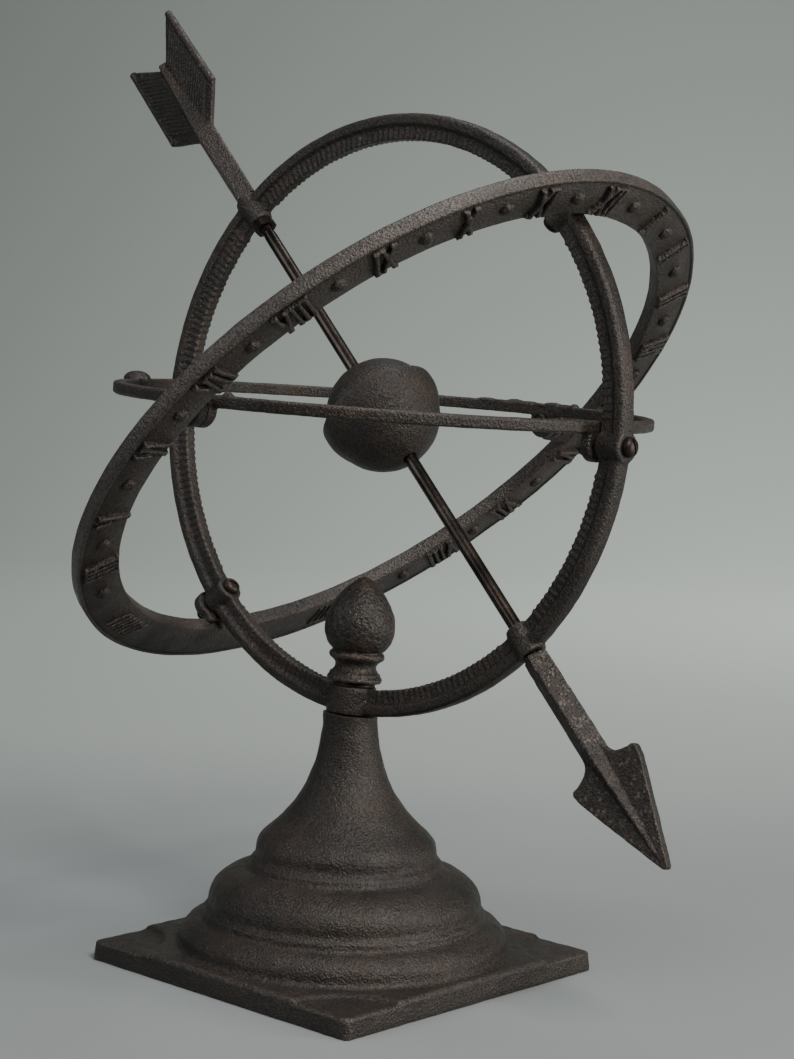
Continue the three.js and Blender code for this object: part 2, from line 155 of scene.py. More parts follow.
def turned(name, profile, steps, closed=False):      # a line drawn beside the axis and spun round it
    line = inMetres(profile)
    if closed:
        line.append(line[0])
    clearSelection()
    bpy.ops.mesh.primitive_plane_add(size=0.001)
    piece = bpy.context.object
    bpy.ops.object.mode_set(mode="EDIT")
    bpy.ops.mesh.select_mode(type="VERT")
    bpy.ops.mesh.select_all(action="SELECT")
    bpy.ops.mesh.merge(type="CENTER")
    bpy.ops.transform.translate(value=(line[0][0], 0, line[0][1]))
    for before, after in zip(line, line[1:]):
        step = (after[0] - before[0], 0, after[1] - before[1])
        bpy.ops.mesh.extrude_region_move(TRANSFORM_OT_translate={"value": step})
    bpy.ops.mesh.select_all(action="SELECT")
    if closed:
        bpy.ops.mesh.remove_doubles(threshold=1e-6)
    bpy.ops.mesh.spin(steps=steps, angle=2 * math.pi, center=(0, 0, 0), axis=(0, 0, 1))
    bpy.ops.mesh.select_all(action="SELECT")
    bpy.ops.mesh.remove_doubles(threshold=2e-6)
    bpy.ops.mesh.normals_make_consistent(inside=False)
    objectMode()
    piece.name = name
    return piece


def cylinderBetween(start, end, radius, sides=48, endRadius=None, edge=0.0):
    way = end - start
    clearSelection()
    bpy.ops.mesh.primitive_cone_add(vertices=sides, radius1=radius, radius2=endRadius or radius,
                                    depth=way.length, location=(start + end) / 2,
                                    rotation=way.to_track_quat("Z", "Y").to_euler())
    piece = settle(bpy.context.object)
    if edge:
        modify(piece, "BEVEL", width=edge, segments=3, limit_method="ANGLE", angle_limit=50 * degree)
    return piece


def block(middle, size, turn=0.0, edge=0.0):     # turned about Z
    clearSelection()
    bpy.ops.mesh.primitive_cube_add(size=1, location=middle, rotation=(0, 0, turn), scale=size)
    piece = settle(bpy.context.object)
    if edge:
        modify(piece, "BEVEL", width=edge, segments=2)
    return piece


def selectPoints(piece, test):
    editAll(piece)
    bpy.ops.mesh.select_mode(type="VERT")
    bpy.ops.mesh.select_all(action="DESELECT")
    objectMode()
    for point in piece.data.vertices:
        point.select = bool(test(point.co))
    bpy.ops.object.mode_set(mode="EDIT")


def selectEdges(piece, test):      # test sees both ends
    editAll(piece)
    bpy.ops.mesh.select_mode(type="EDGE")
    bpy.ops.mesh.select_all(action="DESELECT")
    objectMode()
    for edge in piece.data.edges:
        edge.select = bool(test(*(piece.data.vertices[i].co for i in edge.vertices)))
    bpy.ops.object.mode_set(mode="EDIT")


# A sand casting: its parts run into each other with soft corners, and no face is quite flat
def castTogether(piece, grain, softness=2, unevenness=0.00022, lumps=0.007):
    modify(piece, "REMESH", mode="VOXEL", voxel_size=grain, use_smooth_shade=True)
    modify(piece, "SMOOTH", factor=0.5, iterations=softness)
    return castSurface(piece, unevenness, lumps)


def castSurface(piece, unevenness, lumps):
    sand = bpy.data.textures.new("sand", "CLOUDS")
    sand.noise_scale = lumps
    sand.noise_depth = 2
    modify(piece, "DISPLACE", texture=sand, texture_coords="LOCAL", strength=unevenness * 2, mid_level=0.5)
    pick(piece)
    bpy.ops.object.shade_smooth()
    return piece


def smoothBelow(piece, angle=35):
    pick(piece)
    bpy.ops.object.shade_smooth_by_angle(angle=angle * degree)
    return piece


def finished(piece, body, slot, finish, *nodes):
    piece.data.materials.clear()
    piece.data.materials.append(finish)
    for face in piece.data.polygons:
        face.material_index = 0
    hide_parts(*nodes)
    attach(piece, body)
    print("made", piece.name, len(piece.data.polygons), "faces")


def nodeMaker(material):
    material.use_nodes = True
    tree = material.node_tree

    def add(kind, **settings):
        node = tree.nodes.new(kind)
        for name, value in settings.items():
            setattr(node, name, value)
        return node

    def join(source, output, target, socket):
        tree.links.new(source.outputs[output], target.inputs[socket])

    return tree.nodes["Principled BSDF"], add, join


def setInputs(node, **values):      # an underscore stands for a space
    for name, value in values.items():
        node.inputs[name.replace("_", " ")].default_value = value
    return node


def colorRamp(add, low, lowColor, high, highColor):
    ramp = add("ShaderNodeValToRGB")
    for stop, position, color in zip(ramp.color_ramp.elements, (low, high), (lowColor, highColor)):
        stop.position = position
        stop.color = (*color, 1)
    return ramp


# Camera, floor and lights

cameraSettings = {
    "place": (0.65884, -0.69592, 0.2699),
    "azimuth": 42.75,
    "down": 5.55,
    "roll": 1.887,
    "lens": 81.41,
    "film": 36,
}


def makeCamera():
    camera = bpy.data.objects.new("camera", bpy.data.cameras.new("camera"))
    bpy.context.scene.collection.objects.link(camera)
    camera.data.lens = cameraSettings["lens"]
    camera.data.sensor_width = cameraSettings["film"]
    camera.data.sensor_fit = "AUTO"
    camera.data.clip_start = 0.05
    turn = Matrix.Rotation(cameraSettings["azimuth"] * degree, 4, "Z")
    tip = Matrix.Rotation((90 - cameraSettings["down"]) * degree, 4, "X")
    roll = Matrix.Rotation(cameraSettings["roll"] * degree, 4, "Z")
    camera.matrix_world = Matrix.Translation(cameraSettings["place"]) @ turn @ tip @ roll
    bpy.context.scene.camera = camera


makeCamera()
viewTurn = cameraSettings["azimuth"] * degree
rightOf = Vector((math.cos(viewTurn), math.sin(viewTurn), 0))
awayFrom = Vector((-math.sin(viewTurn), math.cos(viewTurn), 0))

studioSettings = {
    "paper": (0.350, 0.370, 0.348),
    "paintedShadePaper": (0.252, 0.267, 0.265),      # painted shade: darker under the dial, fading into the plain paper behind it
    "fadeFrom": 0.05,
    "fadeTo": 0.5,
    "halfWidth": 4.0,
    "behind": 1.4,           # from the middle to where the paper starts to rise
    "curve": 1.6,
    "curveSteps": 16,
    "height": 1.6,
    "air": (0.62, 0.70, 0.74),
    "airStrength": 0.12,
}


def paperFinish():
    s = studioSettings
    material = bpy.data.materials.new("studioPaper")
    shader, add, link = nodeMaker(material)
    setInputs(shader, Roughness=0.9, Specular_IOR_Level=0.1)
    place = add("ShaderNodeTexCoord")
    towardsBack = setInputs(add("ShaderNodeMapping"), Rotation=(0, 0, -viewTurn))
    split = add("ShaderNodeSeparateXYZ")
    fade = add("ShaderNodeMapRange", interpolation_type="SMOOTHSTEP")
    setInputs(fade, From_Min=s["fadeFrom"], From_Max=s["fadeTo"])
    # painted shade on the floor: the darker paper under the dial fades into the plain paper further back
    mix = setInputs(add("ShaderNodeMixRGB"), Color1=(*s["paintedShadePaper"], 1), Color2=(*s["paper"], 1))
    link(place, "Object", towardsBack, "Vector")
    link(towardsBack, "Vector", split, "Vector")
    link(split, "Y", fade, "Value")
    link(fade, "Result", mix, "Fac")
    link(mix, "Color", shader, "Base Color")
    return material


def makePaper():
    s = studioSettings
    clearSelection()
    bpy.ops.mesh.primitive_plane_add(size=2 * s["halfWidth"])
    paper = bpy.context.object
    paper.name = "paper"
    bpy.ops.object.mode_set(mode="EDIT")
    bpy.ops.transform.translate(value=(0, s["behind"] - s["halfWidth"], 0))
    objectMode()
    selectPoints(paper, lambda co: co.y > s["behind"] - 0.01)
    for i in range(s["curveSteps"]):
        bend = 90 * degree * (i + 0.5) / s["curveSteps"]
        reach = s["curve"] * 90 * degree / s["curveSteps"]
        move = (0, reach * math.cos(bend), reach * math.sin(bend))
        bpy.ops.mesh.extrude_region_move(TRANSFORM_OT_translate={"value": move})
    bpy.ops.mesh.extrude_region_move(TRANSFORM_OT_translate={"value": (0, 0, s["height"])})
    bpy.ops.mesh.select_all(action="SELECT")
    bpy.ops.mesh.normals_make_consistent(inside=True)
    bpy.ops.mesh.faces_shade_smooth()
    objectMode()
    putAt(paper, Matrix.Rotation(viewTurn, 4, "Z"))
    paper.data.materials.append(paperFinish())


# How far each lamp is to the view's right, towards the camera and up. It points at the dial if it has no aim
lampSettings = [
    {"name": "softKey", "right": 0.45, "near": 0.8, "up": 1.05,
     "size": 0.45, "power": 16, "tint": (1.0, 0.97, 0.93)},
    {"name": "sideLamp", "right": 1.15, "near": 0.3, "up": 0.3,
     "size": 0.35, "power": 8, "tint": (1.0, 0.98, 0.96)},
    {"name": "softFill", "right": -1.0, "near": 0.45, "up": 0.75,
     "size": 0.7, "power": 5, "tint": (0.86, 0.93, 1.0)},
    {"name": "topLamp", "right": 0.1, "near": -0.25, "up": 1.35,
     "size": 0.6, "power": 7, "tint": (0.95, 0.98, 1.0)},
    {"name": "paperLamp", "right": 0.6, "near": -1.0, "up": 1.05,
     "size": 0.7, "power": 22, "tint": (0.96, 1.0, 0.98), "aim": (0.5, 2.4, 0.0)},
]


def makeLamps():
    for s in lampSettings:
        lamp = bpy.data.objects.new(s["name"], bpy.data.lights.new(s["name"], "AREA"))
        bpy.context.scene.collection.objects.link(lamp)
        lamp.data.shape = "SQUARE"
        lamp.data.size = s["size"]
        lamp.data.energy = s["power"]
        lamp.data.color = s["tint"]
        height = Vector((0, 0, s["up"] - centre.z))
        lamp.location = centre + rightOf * s["right"] - awayFrom * s["near"] + height
        target = centre
        if "aim" in s:
            right, away, up = s["aim"]
            target = rightOf * right + awayFrom * away + Vector((0, 0, up))
        lamp.rotation_euler = (target - lamp.location).to_track_quat("-Z", "Y").to_euler()
    world = bpy.data.worlds.new("studioAir")
    world.use_nodes = True
    sky = world.node_tree.nodes["Background"]
    sky.inputs["Color"].default_value = (*studioSettings["air"], 1)
    sky.inputs["Strength"].default_value = studioSettings["airStrength"]
    bpy.context.scene.world = world


makePaper()
makeLamps()
print("studio ready")


# Finishes

ironSettings = {
    "dark": (0.0165, 0.0138, 0.0118),
    "brown": (0.035, 0.0262, 0.0202),
    "rust": (0.054, 0.0270, 0.0160),
    # lighter colour on raised edges: partly rubbed wear, partly a painted highlight
    "wearAndHighlight": (0.095, 0.082, 0.072),
    "patch": 0.035,           # how wide the changes from dark to brown are
    "blotch": 0.011,          # and the rusty spots
    "lump": 0.005,            # and the dents that the sand left
    "roughLow": 0.38,
    "roughHigh": 0.56,
    "metal": 0.3,
}


def ironFinish(name, grainSize=0.0009, grainHeight=0.00020, rust=0.25):
    s = ironSettings
    material = bpy.data.materials.new(name)
    shader, add, link = nodeMaker(material)
    setInputs(shader, Metallic=s["metal"], Specular_IOR_Level=0.5)
    place = add("ShaderNodeTexCoord")

    def noise(size, detail=3.0, roughness=0.5):
        node = setInputs(add("ShaderNodeTexNoise"), Scale=1 / size, Detail=detail, Roughness=roughness)
        link(place, "Object", node, "Vector")
        return node

    def bump(height, strength, distance, under=None):
        node = setInputs(add("ShaderNodeBump"), Strength=strength, Distance=distance)
        link(height, "Fac", node, "Height")
        if under:
            link(under, "Normal", node, "Normal")
        return node

    patches = noise(s["patch"], 4, 0.6)
    blotches = noise(s["blotch"], 3, 0.6)
    grain = noise(grainSize, 2, 0.55)
    fine = noise(grainSize * 0.4, 1, 0.5)

    base = colorRamp(add, 0.34, s["dark"], 0.68, s["brown"])
    link(patches, "Fac", base, "Fac")
    rustRamp = colorRamp(add, 0.52, (0, 0, 0), 0.75, (rust, rust, rust))
    link(blotches, "Fac", rustRamp, "Fac")
    rustMix = setInputs(add("ShaderNodeMixRGB"), Color2=(*s["rust"], 1))
    link(rustRamp, "Color", rustMix, "Fac")
    link(base, "Color", rustMix, "Color1")

    # Raised edges are lighter: partly rubbed wear, partly a painted highlight
    shape = add("ShaderNodeNewGeometry")
    edges = colorRamp(add, 0.51, (0, 0, 0), 0.60, (0.75, 0.75, 0.75))
    link(shape, "Pointiness", edges, "Fac")
    wearAndHighlightMix = setInputs(add("ShaderNodeMixRGB"), Color2=(*s["wearAndHighlight"], 1))
    link(edges, "Color", wearAndHighlightMix, "Fac")
    link(rustMix, "Color", wearAndHighlightMix, "Color1")

    # The sand's grains catch the light one by one
    specks = setInputs(add("ShaderNodeMixRGB", blend_type="MULTIPLY"), Fac=0.9)
    speckRamp = colorRamp(add, 0.32, (0.30, 0.30, 0.30), 0.70, (1.9, 1.85, 1.8))
    link(grain, "Fac", speckRamp, "Fac")
    link(wearAndHighlightMix, "Color", specks, "Color1")
    link(speckRamp, "Color", specks, "Color2")
    link(specks, "Color", shader, "Base Color")

    gloss = setInputs(add("ShaderNodeMapRange"), From_Min=0.3, From_Max=0.7,
                      To_Min=s["roughLow"], To_Max=s["roughHigh"])
    link(blotches, "Fac", gloss, "Value")
    link(gloss, "Result", shader, "Roughness")

    fineBump = bump(fine, 0.5, grainHeight * 0.5)
    grainBump = bump(grain, 1.0, grainHeight * 3, fineBump)
    lumpBump = bump(noise(s["lump"], 2), 0.35, grainHeight * 2.5, grainBump)
    link(lumpBump, "Normal", shader, "Normal")
    return material


steelSettings = {
    "dark": (0.026, 0.020, 0.016),
    "bright": (0.095, 0.075, 0.060),
    "metal": 0.85,
    "scratch": 0.00006,       # how deep the scratches are
}


def steelFinish(name, roughness, drawnAlong=None, streak=0.004):      # drawnAlong gives long scratches
    s = steelSettings
    material = bpy.data.materials.new(name)
    shader, add, link = nodeMaker(material)
    setInputs(shader, Metallic=s["metal"])
    place = add("ShaderNodeTexCoord")
    mapping = add("ShaderNodeMapping")
    if drawnAlong:
        turn = drawnAlong.to_track_quat("Z", "Y").inverted().to_euler()
        setInputs(mapping, Rotation=turn, Scale=(1, 1, 0.04))
    link(place, "Object", mapping, "Vector")
    streaks = setInputs(add("ShaderNodeTexNoise"), Scale=1 / (streak * 0.2), Detail=4)
    link(mapping, "Vector", streaks, "Vector")
    stains = setInputs(add("ShaderNodeTexNoise"), Scale=1 / (streak * 3), Detail=4)
    link(place, "Object", stains, "Vector")
    ramp = colorRamp(add, 0.38, s["dark"], 0.72, s["bright"])
    link(stains, "Fac", ramp, "Fac")
    shade = setInputs(add("ShaderNodeMixRGB", blend_type="MULTIPLY"), Fac=0.5)
    link(ramp, "Color", shade, "Color1")
    link(streaks, "Fac", shade, "Color2")
    link(shade, "Color", shader, "Base Color")
    gloss = setInputs(add("ShaderNodeMapRange"), To_Min=roughness - 0.08, To_Max=roughness + 0.16)
    link(streaks, "Fac", gloss, "Value")
    link(gloss, "Result", shader, "Roughness")
    bump = setInputs(add("ShaderNodeBump"), Strength=0.4, Distance=s["scratch"])
    link(streaks, "Fac", bump, "Height")
    link(bump, "Normal", shader, "Normal")
    return material


castIron = ironFinish("castIron")
coarseIron = ironFinish("coarseCastIron", grainSize=0.0013, grainHeight=0.00026, rust=0.6)
brownedSteel = steelFinish("brownedSteel", 0.42)
drawnSteel = steelFinish("drawnSteel", 0.26, drawnAlong=toHead)
print("finishes ready")


# Pedestal: a square plinth and a turned bell with a long neck

pedestalSettings = {
    "half": 0.072,            # half the plinth's side at the ground
    "draft": 0.0008,
    "corner": 0.003,
    "top": 0.0093,
    "panel": 0.029,           # radius of the sunk quarter-round corners
    "panelFloor": 0.0079,
    "border": 0.0042,         # from the edge to the fine groove beside it
    "groove": 0.0009,
    "dimple": 0.0115,         # each corner's small mould mark, from the corner along both sides
    "dimpleRadius": 0.0016,
    "bore": 0.0033,           # for the stud
    "spotFace": 0.0084,       # where its washer and nut sit, inside the neck
    "spotDepth": 0.021,
    "steps": 160,
    "grain": 0.00105,
}


def makePlinth():
    s = pedestalSettings
    clearSelection()
    bpy.ops.mesh.primitive_cube_add(size=1, location=(0, 0, s["top"] / 2),
                                    scale=(2 * s["half"], 2 * s["half"], s["top"]))
    plinth = settle(bpy.context.object)
    selectPoints(plinth, lambda co: co.z > s["top"] / 2)
    shrink = 1 - s["draft"] / s["half"]
    bpy.ops.transform.resize(value=(shrink, shrink, 1), center_override=(0, 0, 0))
    selectEdges(plinth, lambda a, b: abs(a.z - b.z) > 0.001)
    bpy.ops.mesh.bevel(offset=s["corner"], segments=5, affect="EDGES")
    selectEdges(plinth, lambda a, b: min(a.z, b.z) > s["top"] - 1e-5)
    bpy.ops.mesh.bevel(offset=0.0009, segments=3, affect="EDGES")
    objectMode()
    grooves = []
    inset = s["half"] - s["border"]
    length = 2 * (s["half"] - s["panel"]) + 0.002
    for i in range(4):
        clearSelection()
        bpy.ops.mesh.primitive_cube_add(size=1, location=(0, inset, s["top"]), rotation=(45 * degree, 0, 0),
                                        scale=(length, s["groove"], s["groove"]))
        groove = settle(bpy.context.object)
        putAt(groove, Matrix.Rotation(i * 90 * degree, 4, "Z"))
        grooves.append(groove)
    for groove in grooves:
        combine(plinth, groove)
    for sideX in (1, -1):
        for sideY in (1, -1):
            corner = Vector((sideX * s["half"], sideY * s["half"], s["panelFloor"]))
            panel = cylinderBetween(corner, corner + Vector((0, 0, 0.004)), s["panel"] - 0.0004, 128,
                                    s["panel"] + 0.0024)
            combine(plinth, panel)
            clearSelection()
            mark = corner - Vector((sideX, sideY, 0)) * s["dimple"]
            bpy.ops.mesh.primitive_uv_sphere_add(segments=24, ring_count=12, radius=s["dimpleRadius"],
                                                 location=mark + Vector((0, 0, s["dimpleRadius"] / 2)))
            combine(plinth, settle(bpy.context.object))
    return plinth


def makePedestal():
    s = pedestalSettings
    footRoll = [(0, 4.5), (68.2, 4.5), (68.2, 9.0), (66.8, 9.6), (66.0, 10.6)]
    footRoll += bezier((65.9, 11.2), (66.3, 17.0), (61.0, 20.1), (57.3, 20.3), 16)
    bead = [(56.6, 20.6), (56.3, 21.0)] + arc((55.2, 22.7), 1.75, -40, 60, 7) + [(55.2, 24.9), (54.8, 25.3)]
    middle = bezier((55.0, 26.0), (55.6, 34.2), (48.2, 38.6), (40.2, 40.2), 18)
    collar = [(39.4, 40.5), (38.9, 40.9)] + arc((37.2, 42.5), 1.75, -40, 60, 6) + [(37.3, 44.6), (36.7, 45.3)]
    shoulder = bezier((36.5, 46.6), (36.9, 51.4), (34.4, 53.8), (30.4, 57.1), 10)
    neck = bezier((29.6, 57.8), (17.2, 69.6), (12.6, 82.0), (11.0, 99.0), 26)
    profile = footRoll + bead + middle + collar + shoulder + neck + [(10.9, 108), (0, 108)]
    body = turned("pedestalBody", profile, s["steps"])
    pedestal = combine(makePlinth(), body, "UNION")
    lower = bezier((59, -1), (59, 16), (50, 18), (48.5, 26), 8)
    inner = bezier((47, 30), (44, 35), (34, 36), (30.5, 42), 8)
    upper = bezier((29, 48), (20, 56), (12, 68), (9.2, 81), 10)
    hollow = turned("hollow", [(0, -1)] + lower + inner + upper + [(0, 81)], 64)
    combine(pedestal, hollow)
    castTogether(pedestal, s["grain"], softness=1, unevenness=0.00028, lumps=0.006)
    # The neck's top is square to the stud, which leans
    seatHere = Vector((0, 0, seat.z))
    editAll(pedestal)
    bpy.ops.mesh.bisect(plane_co=seatHere, plane_no=studWay, use_fill=True, clear_outer=True)
    objectMode()
    spotFace = cylinderBetween(seatHere - studWay * 0.040, seatHere - studWay * s["spotDepth"], s["spotFace"])
    combine(pedestal, spotFace)
    bore = cylinderBetween(seatHere - studWay * 0.045, seatHere + studWay * 0.02, s["bore"], 32)
    combine(pedestal, bore)
    pedestal.name = "pedestalCasting"
    putAt(pedestal, Matrix.Translation(foot))
    smoothBelow(pedestal, 50)
    finished(pedestal, "stand", "cast_iron", castIron, "pedestal")


makePedestal()


# Acorn, and the washer beneath it, on the stud

mastPlace = axes((level - studWay * level.dot(studWay)).normalized(), across, studWay, seat)
acornSettings = {"start": 0.0132, "steps": 96, "unevenness": 0.0003, "lumps": 0.0035}
washerSettings = {"start": 0.0116, "hole": 3.3, "flat": 8.3, "edge": 0.3, "thick": 1.3}


def makeAcorn():
    s = acornSettings
    flare = [(0, 0), (9.2, 0)] + arc((9.8, 1.3), 1.3, -80, 60, 6) + [(10.2, 3.4)]
    waist = bezier((9.6, 3.9), (8.2, 4.8), (7.9, 6.6), (8.9, 8.0), 8)
    bead = [(9.6, 8.7)] + arc((9.6, 10.6), 1.6, -60, 70, 7) + [(10.0, 12.6)]
    body = bezier((10.6, 13.0), (16.6, 18.5), (15.2, 30.5), (4.6, 39.6), 22)
    tip = bezier((4.6, 39.6), (3.2, 41.0), (1.6, 42.1), (0, 42.4), 6)[1:]
    acorn = turned("acornCasting", flare + waist + bead + body + tip, s["steps"])
    castSurface(acorn, s["unevenness"], s["lumps"])
    putAt(acorn, mastPlace @ Matrix.Translation((0, 0, s["start"])))
    finished(acorn, "stand", "cast_iron", coarseIron, "acorn_finial")


def makeWasher():
    s = washerSettings
    edge = s["edge"]
    rim = arc((s["flat"], edge), edge, -90, 0, 3) + arc((s["flat"], s["thick"] - edge), edge, 0, 90, 3)
    washer = turned("finialWasher", [(s["hole"], 0)] + rim + [(s["hole"], s["thick"])], 72, closed=True)
    putAt(washer, mastPlace @ Matrix.Translation((0, 0, s["start"])))
    smoothBelow(washer)
    finished(washer, "stand", "fastener_steel", brownedSteel, "seat_washer")


makeAcorn()
makeWasher()


# Upright ring: a T section with ribbed sides, and bosses for the rod and the screws

frontDrop = -4.9      # how far the screw in front is under the centre
ringSettings = {
    "outer": 120.0,
    "rimInner": 115.2,
    "inner": 109.5,
    "rimHalf": 4.0,
    "webHalf": 2.3,
    "ribs": 250,
    "ribHeight": 0.55,
    "ribReach": 0.35,
    "grain": 0.0006,
}
uprightPlace = axes(level, upright, level.cross(upright), centre)


def ringAngle(way):      # a direction's angle in the upright ring, from the front
    return math.atan2(way.dot(upright), way.dot(level))


def makeUprightRing():
    s = ringSettings
    frontWay = (level * 114 + upright * frontDrop).normalized()
    section = [(s["inner"], -s["webHalf"]), (s["rimInner"] - 0.8, -s["webHalf"]),
               (s["rimInner"], -s["webHalf"] - 0.6), (s["rimInner"], -s["rimHalf"] + 0.5),
               (s["rimInner"] + 0.6, -s["rimHalf"]), (s["outer"] - 1.2, -s["rimHalf"]),
               (s["outer"] - 0.2, -s["rimHalf"] + 1.2), (s["outer"], 0)]
    section += [(r, -z) for r, z in reversed(section[:-1])]
    ring = turned("uprightRing", section, 2 * s["ribs"], closed=True)
    bosses = [      # direction, from, to, radius at each end
        (-studWay, 108.6, 119.9, 9.2, 10.2),
        (toHead, 108.0, 121.0, 4.9, 5.9),
        (-toHead, 108.0, 121.0, 4.9, 5.9),
        (uphill, 108.9, 120.4, 5.6, 5.9),
        (-uphill, 108.9, 120.4, 5.6, 5.9),
        (frontWay, 108.6, 120.4, 5.4, 6.2),
        (-level, 108.6, 120.4, 5.4, 6.2),
    ]
    clear = [(ringAngle(way), (radius + 4.5) / s["inner"]) for way, _, _, radius, _ in bosses]
    step = math.pi / s["ribs"]

    def onRib(co):
        radius = math.hypot(co.x, co.y) * 1000
        turn = math.atan2(co.y, co.x)
        column = round(turn / step)
        for angle, width in clear:
            if abs((turn - angle + math.pi) % (2 * math.pi) - math.pi) < width:
                return False
        return radius < s["rimInner"] - 0.4 and column % 2 == 0

    selectPoints(ring, onRib)
    inward = 1 - s["ribReach"] / s["inner"]
    outward = 1 + s["ribHeight"] / s["webHalf"]
    bpy.ops.transform.resize(value=(inward, inward, outward), center_override=(0, 0, 0))
    objectMode()
    pieces = [ring]
    toRing = uprightPlace.inverted().to_3x3()
    for way, start, end, innerRadius, outerRadius in bosses:
        here = toRing @ way
        pieces.append(cylinderBetween(here * start * 0.001, here * end * 0.001, innerRadius * 0.001, 48,
                                      outerRadius * 0.001, edge=0.0008))
    whole = joined("uprightRing", pieces)
    castTogether(whole, s["grain"], softness=1, unevenness=0.00018, lumps=0.006)
    putAt(whole, uprightPlace)
    finished(whole, "sphere", "cast_iron", castIron, "meridian_ring")


makeUprightRing()


# Level ring, with half-round tabs, a low dome, two beads and a worn scroll on top

levelSettings = {
    "outer": 107.4,
    "inner": 103.0,
    "height": 4.8,
    "above": 4.1,          # the band's middle stands this far over the centre
    "dip": 1.4,            # lower on the arrowhead's side
    "roll": 2.8,           # and on the side towards -Y
    "tab": 6.6,
    "tabHalf": 0.0022,
    "neck": (0.0042, 0.0122),      # above each tab, through the band and along it
    "dome": -154,
    "domeSize": (0.0056, 0.0033),
    "beads": (-81, 81),
    "beadSize": (0.0019, 0.0015),
    "scroll": (84, 106),
    "curls": 7,
    "curlReach": 0.0052,
    "grain": 0.0005,
}
crossings = {"near": Vector((4.5, -1, -4.7)), "far": Vector((0, 1, 3.8))}      # along, side, height
dialPlace = axes(level, across, upright, centre)
levelPlace = (dialPlace @ Matrix.Translation((0, 0, levelSettings["above"] * 0.001))
              @ Matrix.Rotation(levelSettings["roll"] * degree, 4, "X")
              @ Matrix.Rotation(levelSettings["dip"] * degree, 4, "Y"))


def lowDome(middle, radius, height, stretch=1.0, turn=0.0):
    clearSelection()
    bpy.ops.mesh.primitive_uv_sphere_add(segments=32, ring_count=16, radius=1, location=middle,
                                         rotation=(0, 0, turn), scale=(radius, radius * stretch, height))
    return settle(bpy.context.object)


def makeLevelRing():
    s = levelSettings
    half = s["height"] / 2
    outer = s["outer"]
    inner = s["inner"]
    section = [(inner, -half + 0.4), (inner + 0.4, -half), (outer - 0.7, -half), (outer, -half + 0.7),
               (outer, half - 0.7), (outer - 0.7, half), (inner + 0.4, half), (inner, half - 0.4)]
    pieces = [turned("levelRing", section, 240, closed=True)]
    toBand = levelPlace.inverted() @ dialPlace
    middle = (inner + outer) / 2
    tabs = [((1, 0), 0, frontDrop), ((-1, 0), 0, 0)]
    tabs += [((0, place.y), place.x, place.z) for place in crossings.values()]
    for (outX, outY), slide, drop in tabs:
        out = Vector((outX, outY, 0))
        side = Vector((abs(outY), abs(outX), 0))
        low = out * middle + side * slide + Vector((0, 0, drop))
        here = toBand @ (low * 0.001)
        way = toBand.to_3x3() @ out * s["tabHalf"]
        pieces.append(cylinderBetween(here - way, here + way, s["tab"] * 0.001, 48, edge=0.0007))
        neck = Vector((here.x, here.y, here.z / 2))
        through, along = s["neck"]
        size = Vector((through if outX else along, through if outY else along, abs(here.z)))
        pieces.append(block(neck, size, edge=0.0005))
    top = half * 0.001

    def onBand(angle, radius=middle):
        return Vector((math.cos(angle * degree), math.sin(angle * degree), 0)) * radius * 0.001

    dome = onBand(s["dome"]) + Vector((0, 0, top))
    pieces.append(lowDome(dome, *s["domeSize"]))
    for angle in s["beads"]:
        pieces.append(lowDome(onBand(angle) + Vector((0, 0, top)), *s["beadSize"]))
    first, last = s["scroll"]
    for i in range(s["curls"]):
        angle = first + (last - first) * i / (s["curls"] - 1)
        swell = 0.0010 + 0.0004 * math.sin(i * 2.1)
        spot = onBand(angle, middle + 0.6 * math.cos(i * 1.7)) + Vector((0, 0, top - 0.0002))
        lie = angle + 90 + 14 * math.sin(i * 2.6)
        pieces.append(lowDome(spot, s["curlReach"], swell, 0.4, lie * degree))
    whole = joined("levelRing", pieces)
    castTogether(whole, s["grain"], softness=2, unevenness=0.00016, lumps=0.006)
    putAt(whole, levelPlace)
    finished(whole, "sphere", "cast_iron", castIron, "horizon_ring")


makeLevelRing()


# Hour ring: a flat plate with raised Roman hours, beads between them and a hatched mark at each end

hourSettings = {
    "outer": 141.3,
    "inner": 123.5,
    "thick": 6.2,
    "ahead": 7.5,            # the plate's middle, from the centre towards the arrowhead
    "skew": 4.0,
    "lineIn": 1.7,           # the fine line inside the outer edge
    "middle": 131.6,         # the hours' mean radius
    "tall": 13.6,
    "stroke": 2.7,
    "relief": 1.9,
    "letterStep": 2.9,
    "wideStep": 6.4,
    "bead": 3.1,
    "beadHeight": 2.2,
    "beadRadius": 131.8,
    "beadAfter": 8.8,        # degrees past the last hour
    "serif": 1.4,            # half its length
    "serifWidth": 1.3,
    "hatchAt": 151,
    "hatches": 7,
    "hatchStep": 3.0,
    "hatchLean": 2.6,
    "lug": 0.0078,
    "lugFrom": 0.1207,
    "lugTo": 0.1251,
    "bracket": 0.0066,
    "bracketFrom": 107.7,
    "bracketTo": 111.7,
    "armWide": 0.0158,
    "armDeep": 0.006,
    "nutRoom": 0.0049,
    "grain": 0.0005,
    "fineGrain": 0.00046,    # for the numerals
}
hours = {"IIII": (-126, 64), "V": (-111, 80), "VI": (-94, 95), "VII": (-78, 111), "VIII": (-62, 126),
         "IX": (-46,), "X": (-31,), "XI": (-16,), "XII": (0,), "I": (17,), "II": (32,), "III": (48,)}
hourWay = toHead * math.cos(hourSettings["skew"] * degree) + across * math.sin(hourSettings["skew"] * degree)
hourPlace = axes(uphill, hourWay.cross(uphill), hourWay, centre + hourWay * hourSettings["ahead"] * 0.001)


def makeStroke():      # one cast stroke, 1 m long, with a rounded top
    clearSelection()
    bpy.ops.mesh.primitive_cube_add(size=1)
    stroke = bpy.context.object
    selectPoints(stroke, lambda co: co.z > 0)
    bpy.ops.transform.resize(value=(0.5, 0.97, 1), center_override=(0, 0, 0))
    objectMode()
    stroke.name = "stroke"
    return stroke


